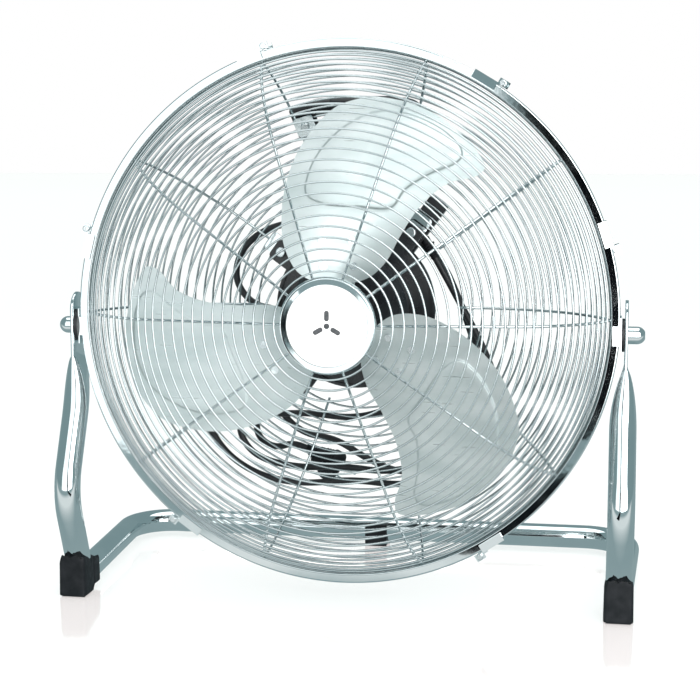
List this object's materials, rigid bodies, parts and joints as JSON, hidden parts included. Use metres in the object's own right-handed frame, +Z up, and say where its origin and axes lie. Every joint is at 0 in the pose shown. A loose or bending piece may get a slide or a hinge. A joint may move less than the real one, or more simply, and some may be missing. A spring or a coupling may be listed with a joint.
{
  "type": "floor fan",
  "caption": "Chrome axial floor fan: wire-guarded round head that tilts on a bent tube stand with rubber feet, driven by a rear motor and carried by a rear handle.",
  "frame": {"origin": "on the floor, at the middle of the fan's footprint in plan", "axes": "+Z up, the fan blows towards -Y, +X to the right seen from the front"},
  "size_m": [0.5736, 0.3312, 0.539],
  "materials": {
    "chrome_tube": "polished chrome plating on bent steel tube",
    "chrome_wire": "polished chrome plating on steel wire",
    "chrome_sheet": "polished chrome plating on pressed steel",
    "blade_aluminium": "satin rolled aluminium sheet",
    "black_rubber": "matte moulded rubber",
    "black_plastic": "fine-grained moulded plastic",
    "black_paint": "satin black paint on pressed steel",
    "badge_white": "gloss white printed disc",
    "emblem_grey": "gloss dark raised mark",
    "bright_steel": "bright zinc-plated steel",
    "lamination": "stacked steel laminations",
    "copper": "enamelled copper wire",
    "cord_black": "smooth flexible cord sheath",
    "bakelite": "moulded insulating plastic"
  },
  "bodies": {
    "stand": {"stand_tube": "chrome_tube", "front_shoe_left": "black_rubber", "front_shoe_right": "black_rubber", "rear_foot": "black_rubber", "pivot_bush_left": "black_plastic", "pivot_bush_right": "black_plastic"},
    "head": {"rim_band": "chrome_sheet", "front_face_rings": "chrome_wire", "front_shoulder_rings": "chrome_wire", "front_spokes": "chrome_wire", "front_rim_wire": "chrome_wire", "rear_face_rings": "chrome_wire", "rear_shoulder_rings": "chrome_wire", "rear_spokes": "chrome_wire", "rear_rim_wire": "chrome_wire", "guard_clips": "chrome_sheet", "clip_screws": "bright_steel", "badge_plate": "chrome_sheet", "badge_disc": "badge_white", "badge_emblem": "emblem_grey", "badge_backing": "chrome_sheet", "badge_screw": "bright_steel", "pivot_bolt_left": "chrome_sheet", "pivot_bolt_right": "chrome_sheet", "pivot_bracket_left": "chrome_sheet", "pivot_bracket_right": "chrome_sheet", "motor_can": "black_paint", "motor_flange": "black_paint", "motor_standoffs": "bright_steel", "motor_screws": "bright_steel", "mount_plate": "chrome_sheet", "rear_cover": "black_plastic", "terminal_box": "black_plastic", "terminal_lid": "black_plastic", "terminal_block": "bakelite", "cord_gland": "black_rubber", "capacitor": "black_plastic", "rotary_switch": "bakelite", "stator_core": "lamination", "stator_windings": "copper", "front_bearing": "bright_steel", "rear_bearing": "bright_steel", "front_bearing_seat": "black_paint", "rear_bearing_bridge": "black_paint", "carry_handle": "black_plastic", "handle_clamps": "chrome_sheet", "handle_screws": "bright_steel", "mains_cord": "cord_black", "plug_body": "black_rubber", "plug_pins": "bright_steel"},
    "impeller": {"fan_blades": "blade_aluminium", "fan_hub": "bright_steel", "blade_rivets": "bright_steel", "hub_nut": "bright_steel", "motor_shaft": "bright_steel", "rotor": "lamination"},
    "speed_knob": {"speed_knob": "black_plastic"}
  },
  "joints": [
    {"name": "head_tilt", "type": "hinge", "parent": "stand", "child": "head", "pos_m": [0, -0.0734, 0.2654], "axis": [-1, 0, 0], "range_deg": [-30, 90]},
    {"name": "impeller_spin", "type": "hinge", "parent": "head", "child": "impeller", "pos_m": [0, -0.1044, 0.279], "axis": [0, 1, 0], "continuous": true},
    {"name": "speed_knob_turn", "type": "hinge", "parent": "head", "child": "speed_knob", "pos_m": [0, 0.0636, 0.293], "axis": [0, -1, 0], "range_deg": [0, 135]}
  ]
}
